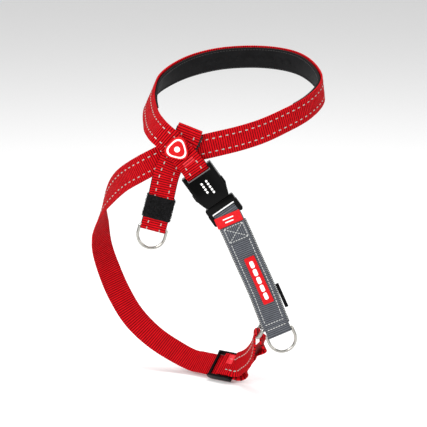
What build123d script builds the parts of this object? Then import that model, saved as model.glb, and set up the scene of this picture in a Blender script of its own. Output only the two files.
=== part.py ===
from build123d import *
from math import cos, sin, radians
import os

# Head halter: a padded neck loop and an adjustable lower loop of one red webbing, joined at a
# crossing under a rubber badge.  A side-release buckle and a padded handle close the lower loop.
# Millimetres.  +Z is up, +X the wearer's left as seen from the front, and the front faces -Y.
# The origin is the centre of the neck opening.

# ---- driving sizes ----
webbing_width = 20.0
webbing_thick = 1.6
fold_width = 18.0          # webbing gathered where it holds a ring
fold_radius = 2.4          # middle line of a webbing fold round a bar
wrap_gap = 0.3             # room between webbing and what it slides on
contact_gap = 0.05         # glue and thread line between sewn layers

lining_thick = 3.0
lining_width = 19.0
pad_thick = 3.0
pad_width = 23.0

ring_wire = 2.4            # wire diameter of the two D-rings
ring_corner = 1.8
ring_leg = 4.5             # straight side of a D-ring above its round bow
link_wire = 2.8
link_corner = 1.8
link_length = 27.6         # outside length of the link ring along its bars
link_tab_wide = 12.0

buckle_width = 27.0
buckle_thick = 8.6
buckle_bar = 3.0           # diameter of both webbing bars
female_length = 31.0
male_length = 12.0
buckle_tilt = 35.0         # degrees the buckle leans from upright

slider_length = 24.0
slider_width = 24.6
slider_bar = 2.2
slider_thick = 1.6

handle_length = 106.5      # from the buckle's bar to the end ring's bar
handle_bow = 1.2           # how far the middle of the handle stands out sideways
label_length = 41.0
label_width = 8.8
label_thick = 1.2
label_down = 60.5          # from the buckle's bar to the label's middle
label_aside = 2.4
patch_down = 17.5
patch_tall = 14.4
patch_thick = 0.9
tag_length = 9.0
tag_down = 5.4
tag_thick = 1.0
side_tag_down = 80.0
side_tag_tall = 21.0
badge_width = 19.0
badge_thick = 3.2
band_height = 19.0         # loop-pile band on the tab
band_up = 16.5             # from the D-ring's bar to the band's middle
band_thick = 1.2

# ---- places ----
buckle_y = -65.6           # middle plane of buckle and handle
strap_a_y = buckle_y - fold_radius
strap_b_y = -61.5
tab_y = -62.0              # middle plane of the folded tab
female_top = (-32.4, -45.5)
tab_ring_at = (-66.2, -92.4)
tab_tilt = -15.0
tab_fold_at = (-37.2, -14.2)
tab_fold_tilt = -22.0
handle_tilt = 23.6
slider_at = (-8.0, -4.0, -224.5)
slider_run = (0.8, -0.6, 0.0)      # line of the strap through the slider
slider_roll = 135.0
link_bar_at = (17.4, -48.0, -184.5)

half = webbing_thick / 2


def front_plane(x, y, z, tilt):
    """Plane that faces the front: local X runs across a strap, local Y up along it."""
    turn = radians(tilt)
    return Plane(origin=(x, y, z), x_dir=(cos(turn), 0, sin(turn)), z_dir=(0, -1, 0))


def along(plane, x, y):
    """World x and z of a point given in a front plane."""
    spot = plane.from_local_coords(Vector(x, y, 0))
    return spot.X, spot.Z


def slope_at(points, i):
    """Direction of the curve at a station, weighted by the lengths of the two spans beside it."""
    here = points[i]
    back = here - points[i - 1] if i > 0 else points[1] - here
    on = points[i + 1] - here if i + 1 < len(points) else back
    return (on * (back.length / on.length) + back * (on.length / back.length)) / (back.length + on.length)


def smooth(stations, place):
    """Point and direction at a place along a smooth curve through hand-chosen stations."""
    points = [Vector(*p) for p in stations]
    i = min(int(place), len(points) - 2)
    f = place - i
    b, c = points[i], points[i + 1]
    span = (c - b).length
    start, end = slope_at(points, i) * span, slope_at(points, i + 1) * span
    spot = (b * (2 * f**3 - 3 * f**2 + 1) + c * (3 * f**2 - 2 * f**3)
            + start * (f**3 - 2 * f**2 + f) + end * (f**3 - f**2))
    run = (c - b) * (6 * f - 6 * f**2) + start * (3 * f**2 - 4 * f + 1) + end * (3 * f**2 - 2 * f)
    return spot, run.normalized()


def between(values, place):
    """Straight mix of the values at the stations either side of a place."""
    i = min(int(place), len(values) - 2)
    f = place - i
    if isinstance(values[i], tuple):
        return Vector(*values[i]) * (1 - f) + Vector(*values[i + 1]) * f
    return values[i] * (1 - f) + values[i + 1] * f


def rolled(run, roll):
    """Width direction of a strap that runs along `run`: roll 0 faces the front, 90 shows its edge,
    180 shows its inner face."""
    flat = Vector(0, 1, 0).cross(run).normalized()
    turn = radians(roll)
    return flat * cos(turn) + run.cross(flat) * sin(turn)


def band(points, widths, width, thick, lift=0.0, first=0.0, last=None, steps=4):
    """Flat strap through hand-chosen points.  `widths` holds roll angles or width directions.
    `lift` moves the strap towards its inner face."""
    last = len(points) - 1 if last is None else last
    count = max(1, round((last - first) * steps))
    rims = []
    for k in range(count + 1):
        place = first + (last - first) * k / count
        spot, run = smooth(points, place)
        across = between(widths, place)
        if isinstance(across, Vector):
            across = (across - run * across.dot(run)).normalized()
        else:
            across = rolled(run, across)
        inner = run.cross(across)
        mid = spot + inner * lift
        side, deep = across * (width / 2), inner * (thick / 2)
        rims.append(Wire.make_polygon([mid + side + deep, mid - side + deep,
                                       mid - side - deep, mid + side - deep], close=True))
    return Solid.make_loft(rims, ruled=True)


def tube(middle, length, turned):
    """Webbing bent into a full ring about the origin."""
    outer = Cylinder(middle + half, length, rotation=turned)
    return outer - Cylinder(middle - half, 2 * length, rotation=turned)


def fold(plane, width, opens_up=True, tail=0.0):
    """Half-round webbing fold round a bar at the plane's origin, with a flat tail behind."""
    outer = fold_radius + half
    turn = -1 if opens_up else 1
    ring = tube(fold_radius, width, (0, 90, 0))
    u = ring & Pos(0, turn * outer / 2, 0) * Box(width, outer, 3 * outer)
    if tail:
        u += Pos(0, -turn * tail / 2, -fold_radius) * Box(width, tail, webbing_thick)
    return plane * u


def d_ring(plane):
    """D-ring of round wire: straight bar at the plane's origin, bow hanging along local -Y."""
    leg = fold_width / 2 + ring_corner + 0.2
    flat = leg - ring_corner
    bar = Line((-flat, 0), (flat, 0))
    right = RadiusArc((flat, 0), (leg, -ring_corner), ring_corner)
    low = -ring_corner - ring_leg
    right_leg = Line((leg, -ring_corner), (leg, low))
    bow = ThreePointArc((leg, low), (0, low - leg), (-leg, low))
    left_leg = Line((-leg, low), (-leg, -ring_corner))
    left = RadiusArc((-leg, -ring_corner), (-flat, 0), ring_corner)
    wire = Wire([bar, right, right_leg, bow, left_leg, left])
    return plane * sweep(Plane(origin=(0, 0, 0), z_dir=(1, 0, 0)) * Circle(ring_wire / 2), path=wire)


def slab(plane, wide, tall, thick, x=0.0, y=0.0, z=0.0, radius=1.0):
    """Plate with rounded corners that lies in a front plane, centred at (x, y, z)."""
    return plane * Pos(x, y, z) * extrude(RectangleRounded(wide, tall, radius), thick / 2, both=True)


# ---- neck loop: from the buckle over the crossing, round the neck, and back to the crossing ----
buckle_plane = front_plane(female_top[0], buckle_y, female_top[1], buckle_tilt)
female_bar_y = -1.8
neck_start = along(buckle_plane, 0, female_bar_y + contact_gap)
neck_next = along(buckle_plane, 0, female_bar_y + 7)

neck_points = [
    (neck_start[0], strap_a_y, neck_start[1]), (neck_next[0], strap_a_y, neck_next[1]),
    (-48, strap_a_y, -27), (-54, strap_a_y, -21), (-60, strap_a_y + 1.4, -16), (-65.5, -54, -12),
    (-69.5, -28, -7.5), (-70.5, 5, 0.5), (-62.5, 40, 9.5), (-39.5, 62, 18.7), (-16, 68.5, 23.8),
    (8, 69.5, 25.8), (32, 63, 25.8), (53.5, 45, 23.3), (67, 20, 16.5), (70.5, -5, 9),
    (58, -31, -1), (37, -46, -10),
    (20, -54, -16.3), (2, -59, -21.2), (-15, -61.2, -25), (-28, strap_b_y, -28), (-44, strap_b_y, -31.5)]
neck_widths = [
    (0.83, 0, 0.56), (0.83, 0, 0.56), (0.74, 0, 0.67), (0.74, 0, 0.67), (0.72, -0.05, 0.7),
    (0.62, -0.1, 0.78), (0.5, -0.2, 0.84),
    (0.42, -0.3, 0.85), (0.25, -0.35, 0.9), (0.1, -0.32, 0.94), (0, -0.31, 0.95), (0, -0.31, 0.95),
    (0, -0.31, 0.95), (-0.05, -0.3, 0.95), (-0.1, -0.3, 0.95), (-0.12, -0.25, 0.96), (-0.1, -0.2, 0.97),
    (-0.1, -0.15, 0.98), (-0.1, -0.1, 0.99), (-0.1, -0.05, 1), (-0.1, 0, 1), (-0.15, 0, 1), (-0.3, 0, 0.95)]
lining_first, lining_last = 6.0, 16.5
neck_last = len(neck_points) - 1


def make_neck_webbing():
    return band(neck_points, neck_widths, webbing_width, webbing_thick)


def make_neck_lining():
    lift = half + wrap_gap / 2 + lining_thick / 2
    return band(neck_points, neck_widths, lining_width, lining_thick, lift, lining_first, lining_last)


def make_buckle_fold():
    return fold(buckle_plane * Plane((0, female_bar_y, 0)), fold_width + 1, tail=6.0)


# ---- lower loop: from the crossing round the muzzle to the slider and the link ring ----
run_dir = Vector(*slider_run)
slider_plane = Plane(origin=slider_at, x_dir=run_dir, z_dir=run_dir.cross(rolled(run_dir, slider_roll)))
straight_run = (-32.0, -26.0, 12.0, 13.6)          # stations of the straight run, from the slider's middle
run_points = [tuple(Vector(*slider_at) + run_dir * s) for s in straight_run]
leg_gap = fold_radius - 0.1
link_x, link_y, link_z = link_bar_at

lower_points = [
    (-44, strap_b_y, -31.5), (-54, strap_b_y, -34), (-66, strap_b_y, -39.7), (-78.5, -56, -47.5),
    (-91, -44, -57.5),
    (-102.5, -26, -73), (-109, -9, -87.5), (-112, 12, -109.5), (-111.6, 24, -128), (-106, 33, -150.5),
    (-98, 37, -171.3), (-86.5, 36, -190.8), (-70, 31, -206.8), (-51.5, 24.5, -218), *run_points,
    (7.6, -19, -217), (13.2, -27.5, -209), (18.8, -37, -200), (21.9, -44, -193.3),
    (link_x + leg_gap, link_y, link_z - 4), (link_x + leg_gap, link_y, link_z - contact_gap)]
lower_rolls = [0, 0, 6, 18, 36, 62, 88, 128, 143, 157, 168, 165, 150, 143, *[slider_roll] * 4,
               118, 100, 92, 88, 90, 90]
split_at = 9.0             # station where the lower loop is divided for the buckle's pull
split_gap = 0.02

return_points = [
    (link_x - leg_gap, link_y, link_z - contact_gap), (link_x - leg_gap, link_y, link_z - 4),
    (13.6, -43, -199), (10, -33.5, -208.5), (4.8, -23.5, -215.3)]
return_rolls = [90, 90, 82, 68, 55, 45, 180 - slider_roll, 180 - slider_roll]
wrap_y = 3.8               # centre bar of the slider above the running strap
wrap_mid = wrap_y + fold_radius - 0.5
leg_end = 3.4


def slider_spot(x, z):
    return tuple(slider_plane.from_local_coords(Vector(x, 0, z)))


return_points += [slider_spot(leg_end + s, wrap_mid) for s in (7.6, 3.8, 0)]


def make_lower_strap_upper():
    return band(lower_points, lower_rolls, webbing_width, webbing_thick, 0, 0, split_at - split_gap)


def make_lower_strap_lower():
    return band(lower_points, lower_rolls, webbing_width, webbing_thick, 0, split_at + split_gap)


def make_ring_wrap():
    """Half turn of the strap over the link ring's lower bar."""
    outer = leg_gap + half
    upper = Pos(0, 0, outer / 2) * Box(3 * outer, webbing_width, outer)
    return Pos(*link_bar_at) * (tube(leg_gap, webbing_width, (90, 0, 0)) & upper)


def make_return_leg():
    return band(return_points, return_rolls, webbing_width, webbing_thick)


# ---- slider with the sewn end of the strap round its middle bar ----
sewn_radius = fold_radius - 0.5
rod_radius = sewn_radius - half - 0.15
sewn_tail = 5.6            # strap end under the return leg, sewn to it
leg_lap = 3.0
bar_rise = slider_thick / 2 + half + wrap_gap      # outer bars ride just above the running strap
rail_low = -1.2            # the side rails reach below the running strap
rail_tall = 5.9


def make_slider():
    """Two deep side rails with rounded ends, an outer bar at each end and a round middle bar."""
    rail = (slider_width - webbing_width) / 2 - 0.4
    reach = (slider_width - rail) / 2
    side = Plane.XZ * extrude(RectangleRounded(slider_length, rail_tall, 2.4), rail / 2, both=True)
    frame = [slider_plane * Pos(0, s * reach, rail_low + rail_tall / 2) * side for s in (-1, 1)]
    bars = [slider_plane * Pos(s * (slider_length - slider_bar) / 2, 0, bar_rise) *
            Box(slider_bar, slider_width - rail, slider_thick) for s in (-1, 1)]
    middle = slider_plane * Pos(0, 0, wrap_y) * Cylinder(rod_radius, slider_width - rail, rotation=(90, 0, 0))
    return frame[0] + frame[1] + bars[0] + bars[1] + middle


def make_sewn_end():
    """The strap's end turned round the middle bar: a half ring with a flat tail on each side."""
    outer = sewn_radius + half
    left = Pos(-outer / 2, 0, 0) * Box(outer, webbing_width, 3 * outer)
    turn = tube(sewn_radius, webbing_width, (90, 0, 0)) & left
    under = Pos(sewn_tail / 2, 0, -sewn_radius) * Box(sewn_tail, webbing_width, webbing_thick)
    over = Pos(leg_lap / 2, 0, sewn_radius) * Box(leg_lap, webbing_width, webbing_thick)
    return slider_plane * Pos(0, 0, wrap_y) * (turn + under + over)


# ---- front tab with its D-ring ----
tab_ring_plane = front_plane(tab_ring_at[0], tab_y, tab_ring_at[1], tab_tilt)
tab_fold_plane = front_plane(tab_fold_at[0], tab_y, tab_fold_at[1], tab_fold_tilt)


def tab_spot(plane, up):
    x, z = along(plane, 0, up)
    return (x, tab_y, z)


tab_points = [
    tab_spot(tab_ring_plane, contact_gap), tab_spot(tab_ring_plane, 8), (-60.2, tab_y, -69.2),
    (-55, tab_y, -48), (-47.5, tab_y, -32), tab_spot(tab_fold_plane, -8),
    tab_spot(tab_fold_plane, -contact_gap)]
tab_rolls = [0] * len(tab_points)


def make_tab_strap():
    """Front layer of the tab; the run goes upwards, so its inner face is at the back."""
    return band(tab_points, tab_rolls, webbing_width, webbing_thick, -fold_radius)


def make_tab_top_fold():
    return fold(tab_fold_plane, webbing_width, opens_up=False)


def make_tab_backing():
    return band(tab_points, tab_rolls, webbing_width, webbing_thick, fold_radius)


def make_tab_ring_fold():
    return fold(tab_ring_plane, fold_width)


def make_tab_d_ring():
    return d_ring(tab_ring_plane)


def make_tab_band():
    outer_deep = 2 * (fold_radius + half + contact_gap + band_thick)
    inner_deep = outer_deep - 2 * band_thick
    wide = webbing_width + 2 * band_thick
    place = tab_ring_plane * Pos(0, band_up, 0)
    room = Box(wide - band_thick, 2 * band_height, inner_deep)
    return place * (Box(wide, band_height, outer_deep) - room)


# ---- badge over the crossing ----
badge_plane = front_plane(-48.2, strap_a_y - half - wrap_gap, -26, -45)


def badge_outline(size):
    """Rounded triangle."""
    tri = RegularPolygon(radius=badge_width * 0.68 * size, side_count=3)
    return fillet(tri.vertices(), badge_width * 0.27 * size)


def make_badge():
    return badge_plane * extrude(badge_outline(1), badge_thick)


def make_badge_inlay():
    ring = badge_outline(0.84) - badge_outline(0.68)
    dot = Circle(badge_width * 0.12)
    return badge_plane * Pos(0, 0, badge_thick + 0.02) * extrude(ring + dot, 0.4)


# ---- side-release buckle ----
pocket_wide, pocket_deep = buckle_width - 5.0, 4.6
pocket_top = -9.5
window_top, window_bottom = -12.5, -24.0
mouth = -female_length
male_top = mouth - wrap_gap
male_bar_y = male_top - male_length + buckle_bar / 2
arm_root_x = 8.8
head_reach = buckle_width / 2 + 0.8
cheek_wide, cheek_thick = 3.2, 6.2         # the male half's frame beside the webbing


def bar_across(plane, y, width):
    return plane * Pos(0, y, 0) * Cylinder(buckle_bar / 2, width, rotation=(0, 90, 0))


def make_buckle_female():
    top, neck = -5.6, female_bar_y + buckle_bar / 2
    half_wide = buckle_width / 2
    right = [(half_wide, 0), (half_wide, window_top), (half_wide - 0.6, window_bottom),
             (half_wide - 3, mouth)]
    left = [(-x, y) for x, y in reversed(right)]
    outline = Polyline(*right, *left, close=True)
    face = make_face(outline)
    face = fillet(face.vertices().sort_by(Axis.Y)[:2], 2.5)
    body = extrude(face, buckle_thick / 2, both=True)
    body = fillet(body.edges().filter_by(Axis.Z, reverse=True).group_by(Axis.Z)[-1], 0.8)
    slot = Pos(0, (top + neck) / 2, 0) * Box(webbing_width + 0.8, neck - top, 2 * buckle_thick)
    trim = Pos(0, neck / 2, 0) * Box(webbing_width + 0.8, abs(neck) * 4, 2 * buckle_thick)
    pocket = Pos(0, (mouth + pocket_top) / 2, 0) * Box(pocket_wide, pocket_top - mouth + 1, pocket_deep)
    window_mid = (window_top + window_bottom) / 2
    window = Pos(0, window_mid, 0) * Box(2 * buckle_width, window_top - window_bottom, pocket_deep)
    body = body - slot - trim - pocket - window
    return buckle_plane * body + bar_across(buckle_plane, female_bar_y, webbing_width + 3)


def make_buckle_male():
    base_top, slot_top = male_top, male_bar_y + buckle_bar / 2 + 3.4
    base = Pos(0, (base_top + slot_top) / 2, 0) * extrude(
        RectangleRounded(buckle_width - 1, base_top - slot_top, 1.2), buckle_thick * 0.42, both=True)
    cheek_long = slot_top - male_bar_y + 2 * buckle_bar
    cheek = extrude(RectangleRounded(cheek_wide, cheek_long, cheek_wide / 2 - 0.1), cheek_thick / 2, both=True)
    cheek_y = slot_top + 1.0 - cheek_long / 2
    cheeks = [Pos(s * (buckle_width - cheek_wide) / 2, cheek_y, 0) * cheek for s in (-1, 1)]
    prong = Pos(0, (base_top - 12) / 2, 0) * Box(5, abs(base_top + 12) + 1, 3)
    bar = bar_across(buckle_plane, male_bar_y, buckle_width - 1.6)
    return buckle_plane * (base + cheeks[0] + cheeks[1] + prong) + bar


def make_latch_arm(side):
    """Springy arm that grows out of the male half; its head stands in the window."""
    root = male_top + 0.05
    outline = Polyline(
        (arm_root_x - 1.1, root), (arm_root_x + 1.1, root), (arm_root_x + 1.3, window_bottom + 0.8),
        (head_reach - 1.2, window_bottom + 0.4), (head_reach, window_bottom + 3),
        (head_reach, window_top - 3), (head_reach - 3.4, window_top - 0.6),
        (arm_root_x - 1, window_top - 0.6), (arm_root_x - 1.6, window_bottom + 3), close=True)
    arm = extrude(make_face(outline), (pocket_deep - 0.8) / 2, both=True)
    return buckle_plane * (arm if side > 0 else mirror(arm, Plane.YZ))


def make_latch_arm_left():
    return make_latch_arm(-1)


def make_latch_arm_right():
    return make_latch_arm(1)


# ---- handle between the buckle and the end ring ----
male_bar_at = along(buckle_plane, 0, male_bar_y)
handle_plane = front_plane(male_bar_at[0], buckle_y, male_bar_at[1], handle_tilt)


def handle_spot(down, aside=0.0):
    x, z = along(handle_plane, aside, -down)
    return (x, buckle_y, z)


def buckle_spot(down):
    x, z = along(buckle_plane, 0, male_bar_y - down)
    return (x, buckle_y, z)


handle_points = [
    buckle_spot(contact_gap), buckle_spot(4), handle_spot(16, handle_bow), handle_spot(40, handle_bow),
    handle_spot(70, handle_bow), handle_spot(handle_length - 8), handle_spot(handle_length - contact_gap)]
handle_rolls = [0] * len(handle_points)
end_ring_plane = handle_plane * Plane((0, -handle_length, 0))


def make_handle_webbing():
    return band(handle_points, handle_rolls, webbing_width, webbing_thick, -fold_radius)


def make_handle_pad():
    return band(handle_points, handle_rolls, pad_width, pad_thick, 0, 1.5, 5.5)


def make_handle_backing():
    return band(handle_points, handle_rolls, webbing_width, webbing_thick, fold_radius)


def make_handle_top_fold():
    return fold(buckle_plane * Plane((0, male_bar_y, 0)), fold_width + 1, opens_up=False)


def make_handle_end_fold():
    return fold(end_ring_plane, fold_width)


def make_end_d_ring():
    return d_ring(end_ring_plane)


front_face = fold_radius + half + contact_gap


def make_box_patch():
    level = front_face + patch_thick / 2
    return slab(handle_plane, webbing_width - 1, patch_tall, patch_thick, handle_bow, -patch_down, level)


def make_buckle_tag():
    level = front_face + tag_thick / 2
    return slab(handle_plane, webbing_width + 1.5, tag_length, tag_thick, 0, -tag_down, level)


def make_handle_label():
    level = front_face + label_thick / 2
    return slab(handle_plane, label_width, label_length, label_thick, label_aside, -label_down, level, 1.2)


def make_label_inlay():
    top = front_face + label_thick + 0.02
    pitch = label_length / 5.3
    bars = []
    for k in (-2, -1, 0, 1, 2):
        bars.append(slab(handle_plane, 3.2, 5.5, 0.4, label_aside, pitch * k - label_down, top + 0.2, 0.8))
    return Compound(children=bars)


def make_side_tag():
    return handle_plane * Pos(pad_width / 2 + 2.5, -side_tag_down, 0) * Box(2.6, side_tag_tall, 0.8)


def stitch_rows(plane, rows, across, pitch, level):
    """Groups of short threads that lie on top of the webbing."""
    count = int(across / pitch)
    threads = []
    for y in rows:
        for k in range(count):
            threads.append(slab(plane, 1.3, 0.5, 0.4, (k - (count - 1) / 2) * pitch, y, level + 0.25, 0.2))
    return Compound(children=threads)


def make_handle_end_stitches():
    return stitch_rows(end_ring_plane, (5.0, 9.5), 17, 2.2, fold_radius + half)


def make_tab_end_stitches():
    return stitch_rows(tab_ring_plane, (4.4,), 17, 3.0, fold_radius + half)


def make_buckle_stitches():
    return stitch_rows(buckle_plane, (2.5, 8.0), 8, 2.0, fold_radius + half)


# ---- link ring behind the handle's end, and the tab that holds it ----
link_top = (link_x + 5.0, link_y, link_z + 7.5)


def link_bar(at, length, radius):
    return Pos(*at) * Cylinder(radius, length, rotation=(90, 0, 0))


def make_link_ring():
    reach = (link_length - link_wire) / 2
    a, b = Vector(*link_bar_at), Vector(*link_top)
    y = Vector(0, reach, 0)
    path = FilletPolyline(a - y, a + y, b + y, b - y, radius=link_corner, close=True)
    start = Plane(origin=(path.edges()[0] @ 0.5), z_dir=(path.edges()[0] % 0.5))
    return sweep(start * Circle(link_wire / 2), path=path)


def make_link_tab():
    """Short doubled webbing from the back of the handle to the link ring's upper bar."""
    bar_room = link_wire / 2 + 0.3
    eye_y = link_y + 2.0
    top = Vector(*link_top)
    eye = Pos(top.X, eye_y, top.Z) * Cylinder(bar_room + webbing_thick, link_tab_wide, rotation=(90, 0, 0))
    arm = Pos(top.X + 4.6, eye_y, top.Z + 1.2) * Box(8.0, link_tab_wide, 2 * webbing_thick)
    front, back = buckle_y + front_face, eye_y + link_tab_wide / 2
    riser = Pos(top.X + 8, (front + back) / 2, top.Z + 4) * Box(2.4, back - front, 9.0)
    return eye + arm + riser - link_bar((top.X, eye_y, top.Z), link_length, bar_room)


makers = {
    "neck_webbing": make_neck_webbing, "neck_lining": make_neck_lining, "buckle_fold": make_buckle_fold,
    "lower_strap_upper": make_lower_strap_upper, "lower_strap_lower": make_lower_strap_lower,
    "ring_wrap": make_ring_wrap, "return_leg": make_return_leg, "slider": make_slider,
    "sewn_end": make_sewn_end, "tab_strap": make_tab_strap, "tab_top_fold": make_tab_top_fold,
    "tab_backing": make_tab_backing, "tab_ring_fold": make_tab_ring_fold, "tab_band": make_tab_band,
    "badge": make_badge, "badge_inlay": make_badge_inlay, "buckle_female": make_buckle_female,
    "buckle_male": make_buckle_male, "handle_webbing": make_handle_webbing, "handle_pad": make_handle_pad,
    "handle_backing": make_handle_backing, "handle_top_fold": make_handle_top_fold,
    "handle_end_fold": make_handle_end_fold, "box_patch": make_box_patch, "buckle_tag": make_buckle_tag,
    "handle_label": make_handle_label, "label_inlay": make_label_inlay, "side_tag": make_side_tag,
    "handle_end_stitches": make_handle_end_stitches, "tab_end_stitches": make_tab_end_stitches,
    "buckle_stitches": make_buckle_stitches, "link_ring": make_link_ring, "link_tab": make_link_tab,
    "tab_d_ring": make_tab_d_ring, "end_d_ring": make_end_d_ring,
    "latch_arm_left": make_latch_arm_left, "latch_arm_right": make_latch_arm_right,
}

os.makedirs("parts", exist_ok=True)
for name, make in makers.items():
    export_step(make(), f"parts/{name}.step")
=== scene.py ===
import bpy
import math
import random
import numpy as np
from mathutils import Matrix, Vector


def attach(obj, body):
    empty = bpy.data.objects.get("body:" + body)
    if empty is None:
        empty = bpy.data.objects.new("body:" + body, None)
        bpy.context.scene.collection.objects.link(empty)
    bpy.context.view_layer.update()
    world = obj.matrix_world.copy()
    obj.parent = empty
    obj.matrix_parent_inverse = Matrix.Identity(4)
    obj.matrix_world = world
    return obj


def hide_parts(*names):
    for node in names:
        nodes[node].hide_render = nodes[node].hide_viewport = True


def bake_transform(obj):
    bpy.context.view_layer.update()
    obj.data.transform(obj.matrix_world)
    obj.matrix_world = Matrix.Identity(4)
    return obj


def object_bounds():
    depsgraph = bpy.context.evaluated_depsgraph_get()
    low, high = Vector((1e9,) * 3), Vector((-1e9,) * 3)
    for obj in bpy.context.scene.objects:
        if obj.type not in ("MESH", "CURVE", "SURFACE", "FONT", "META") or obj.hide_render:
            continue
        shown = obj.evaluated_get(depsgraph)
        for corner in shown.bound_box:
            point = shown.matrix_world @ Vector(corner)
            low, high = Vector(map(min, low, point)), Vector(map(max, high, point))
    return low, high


# ---- The halter's frame ----
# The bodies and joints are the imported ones, and so are the sizes.  Lengths are in metres, so a size
# in millimetres is multiplied by mm.
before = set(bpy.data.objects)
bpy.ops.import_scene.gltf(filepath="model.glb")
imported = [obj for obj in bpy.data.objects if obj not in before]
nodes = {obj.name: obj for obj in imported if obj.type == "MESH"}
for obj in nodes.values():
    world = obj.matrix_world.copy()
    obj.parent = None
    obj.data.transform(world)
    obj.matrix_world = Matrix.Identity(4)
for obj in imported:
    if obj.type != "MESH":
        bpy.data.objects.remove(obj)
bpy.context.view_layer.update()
mm = 0.001

# ---- Neck loop: red nylon webbing ----
# One length of 20 mm webbing, woven flat with thick ribs across it, two rows of reflective thread
# along it, and its end turned round the buckle's bar and sewn down.
webbing_width = 20 * mm
webbing_thick = 1.6 * mm
fold_radius = 2.4 * mm          # from a bar's centre to the middle of the webbing round it
rib_pitch = 1.9 * mm
steps_per_station = 16
buckle_y = -65.6
strap_a_y = buckle_y - 2.4
strap_b_y = -61.5
buckle_tilt = math.radians(35)
buckle_up = Vector((-math.sin(buckle_tilt), 0, math.cos(buckle_tilt)))
buckle_top = Vector((-32.4, buckle_y, -45.5))
female_bar = buckle_top + buckle_up * -1.8


def slope_at(stations, i):
    """Direction of the strap at a station, weighted by the lengths of the two spans beside it."""
    back = stations[i] - stations[i - 1] if i else stations[1] - stations[0]
    on = stations[i + 1] - stations[i] if i + 1 < len(stations) else back
    mixed = on * (back.length / on.length) + back * (on.length / back.length)
    return mixed / (back.length + on.length)


def strap_rows(route, widths, lift=0.0, first=0, last=None):
    """Rows of (middle, across, inner) along a smooth strap through given stations in mm.
    A width is a direction, or a roll in degrees: 0 faces the front and 180 shows the inner face."""
    stations = [Vector(spot) for spot in route]
    last = len(stations) - 1 if last is None else last
    count = round((last - first) * steps_per_station)
    rows = []
    for k in range(count + 1):
        place = first + (last - first) * k / count
        i = min(int(place), len(stations) - 2)
        f = place - i
        b, c = stations[i], stations[i + 1]
        start = slope_at(stations, i) * (c - b).length
        end = slope_at(stations, i + 1) * (c - b).length
        spot = (b * (2 * f**3 - 3 * f**2 + 1) + c * (3 * f**2 - 2 * f**3)
                + start * (f**3 - 2 * f**2 + f) + end * (f**3 - f**2))
        run = (c - b) * (6 * f - 6 * f**2) + start * (3 * f**2 - 4 * f + 1) + end * (3 * f**2 - 2 * f)
        run.normalize()
        if isinstance(widths[i], tuple):
            across = Vector(widths[i]).lerp(Vector(widths[i + 1]), f)
            across = (across - run * across.dot(run)).normalized()
        else:
            roll = math.radians(widths[i] * (1 - f) + widths[i + 1] * f)
            flat = Vector((0, 1, 0)).cross(run).normalized()
            across = flat * math.cos(roll) + run.cross(flat) * math.sin(roll)
        inner = run.cross(across)
        rows.append((spot * mm + inner * lift, across, inner))
    return rows


def round_bar(bar, row, degrees):
    """Rows of webbing that goes round a bar from the given row, on past it or back before it."""
    middle, across, inner = row
    turned = []
    for k in range(13):
        turn = Matrix.Rotation(math.radians(degrees * k / 12), 3, across)
        turned.append((bar + turn @ (middle - bar), across, turn @ inner))
    return turned if degrees < 0 else turned[::-1]


def length_of(rows):
    return sum((rows[k + 1][0] - rows[k][0]).length for k in range(len(rows) - 1))


def lay(piece, rows):
    """Bends a piece that was made flat along a strap: x runs along it, y across it, z outwards."""
    table = np.array([[*middle, *across, *inner] for middle, across, inner in rows])
    spans = np.linalg.norm(np.diff(table[:, :3], axis=0), axis=1)
    run = np.concatenate([[0.0], np.cumsum(spans)])
    flat = np.empty(len(piece.data.vertices) * 3)
    piece.data.vertices.foreach_get("co", flat)
    flat = flat.reshape(-1, 3)
    at = np.array([np.interp(flat[:, 0], run, table[:, k]) for k in range(9)]).T
    placed = at[:, :3] - at[:, 3:6] * flat[:, 1:2] - at[:, 6:9] * flat[:, 2:3]
    piece.data.vertices.foreach_set("co", placed.ravel())
    piece.data.update()
    return piece


def deselect():
    bpy.ops.object.select_all(action="DESELECT")


def named(name):
    """The piece just added, named, with its size and place in its mesh."""
    piece = bpy.context.object
    piece.name = name
    piece.data.name = name
    bpy.ops.object.transform_apply(location=True, rotation=True, scale=True)
    return piece


def modify(piece, kind, **settings):
    """Adds one modifier and applies it."""
    bpy.context.view_layer.objects.active = piece
    modifier = piece.modifiers.new(kind, kind)
    for key, value in settings.items():
        setattr(modifier, key, value)
    bpy.ops.object.modifier_apply(modifier=modifier.name)
    return piece


def map_flat(piece):
    """Gives each face corner its flat place in metres as UV, so that the weave follows the strap."""
    layer = piece.data.uv_layers.active or piece.data.uv_layers.new(name="weave")
    for loop in piece.data.loops:
        spot = piece.data.vertices[loop.vertex_index].co
        layer.data[loop.index].uv = (spot.x, spot.y)


def flat_webbing(name, length, width, thick, across=8, cell=1.5 * mm):
    """A flat strip of webbing with rounded selvedges that starts at x = 0."""
    deselect()
    bpy.ops.mesh.primitive_grid_add(x_subdivisions=max(2, round(length / cell)), y_subdivisions=across,
                                    size=1, location=(length / 2, 0, 0))
    bpy.ops.transform.resize(value=(length, width, 1))
    strip = named(name)
    modify(strip, "SOLIDIFY", thickness=thick, offset=0)
    modify(strip, "BEVEL", width=thick * 0.3, segments=2, limit_method="ANGLE")
    map_flat(strip)
    return strip


def finished(piece, material, smooth=40):
    """Gives a piece its one material and smooth shading away from its sharp edges."""
    piece.data.materials.clear()
    piece.data.materials.append(material)
    deselect()
    piece.select_set(True)
    bpy.context.view_layer.objects.active = piece
    bpy.ops.object.shade_smooth_by_angle(angle=math.radians(smooth))
    return piece


def webbing(name, rows, material, width=webbing_width):
    """A length of webbing laid along all of the given rows."""
    return finished(lay(flat_webbing(name, length_of(rows), width, webbing_thick), rows), material)


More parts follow.
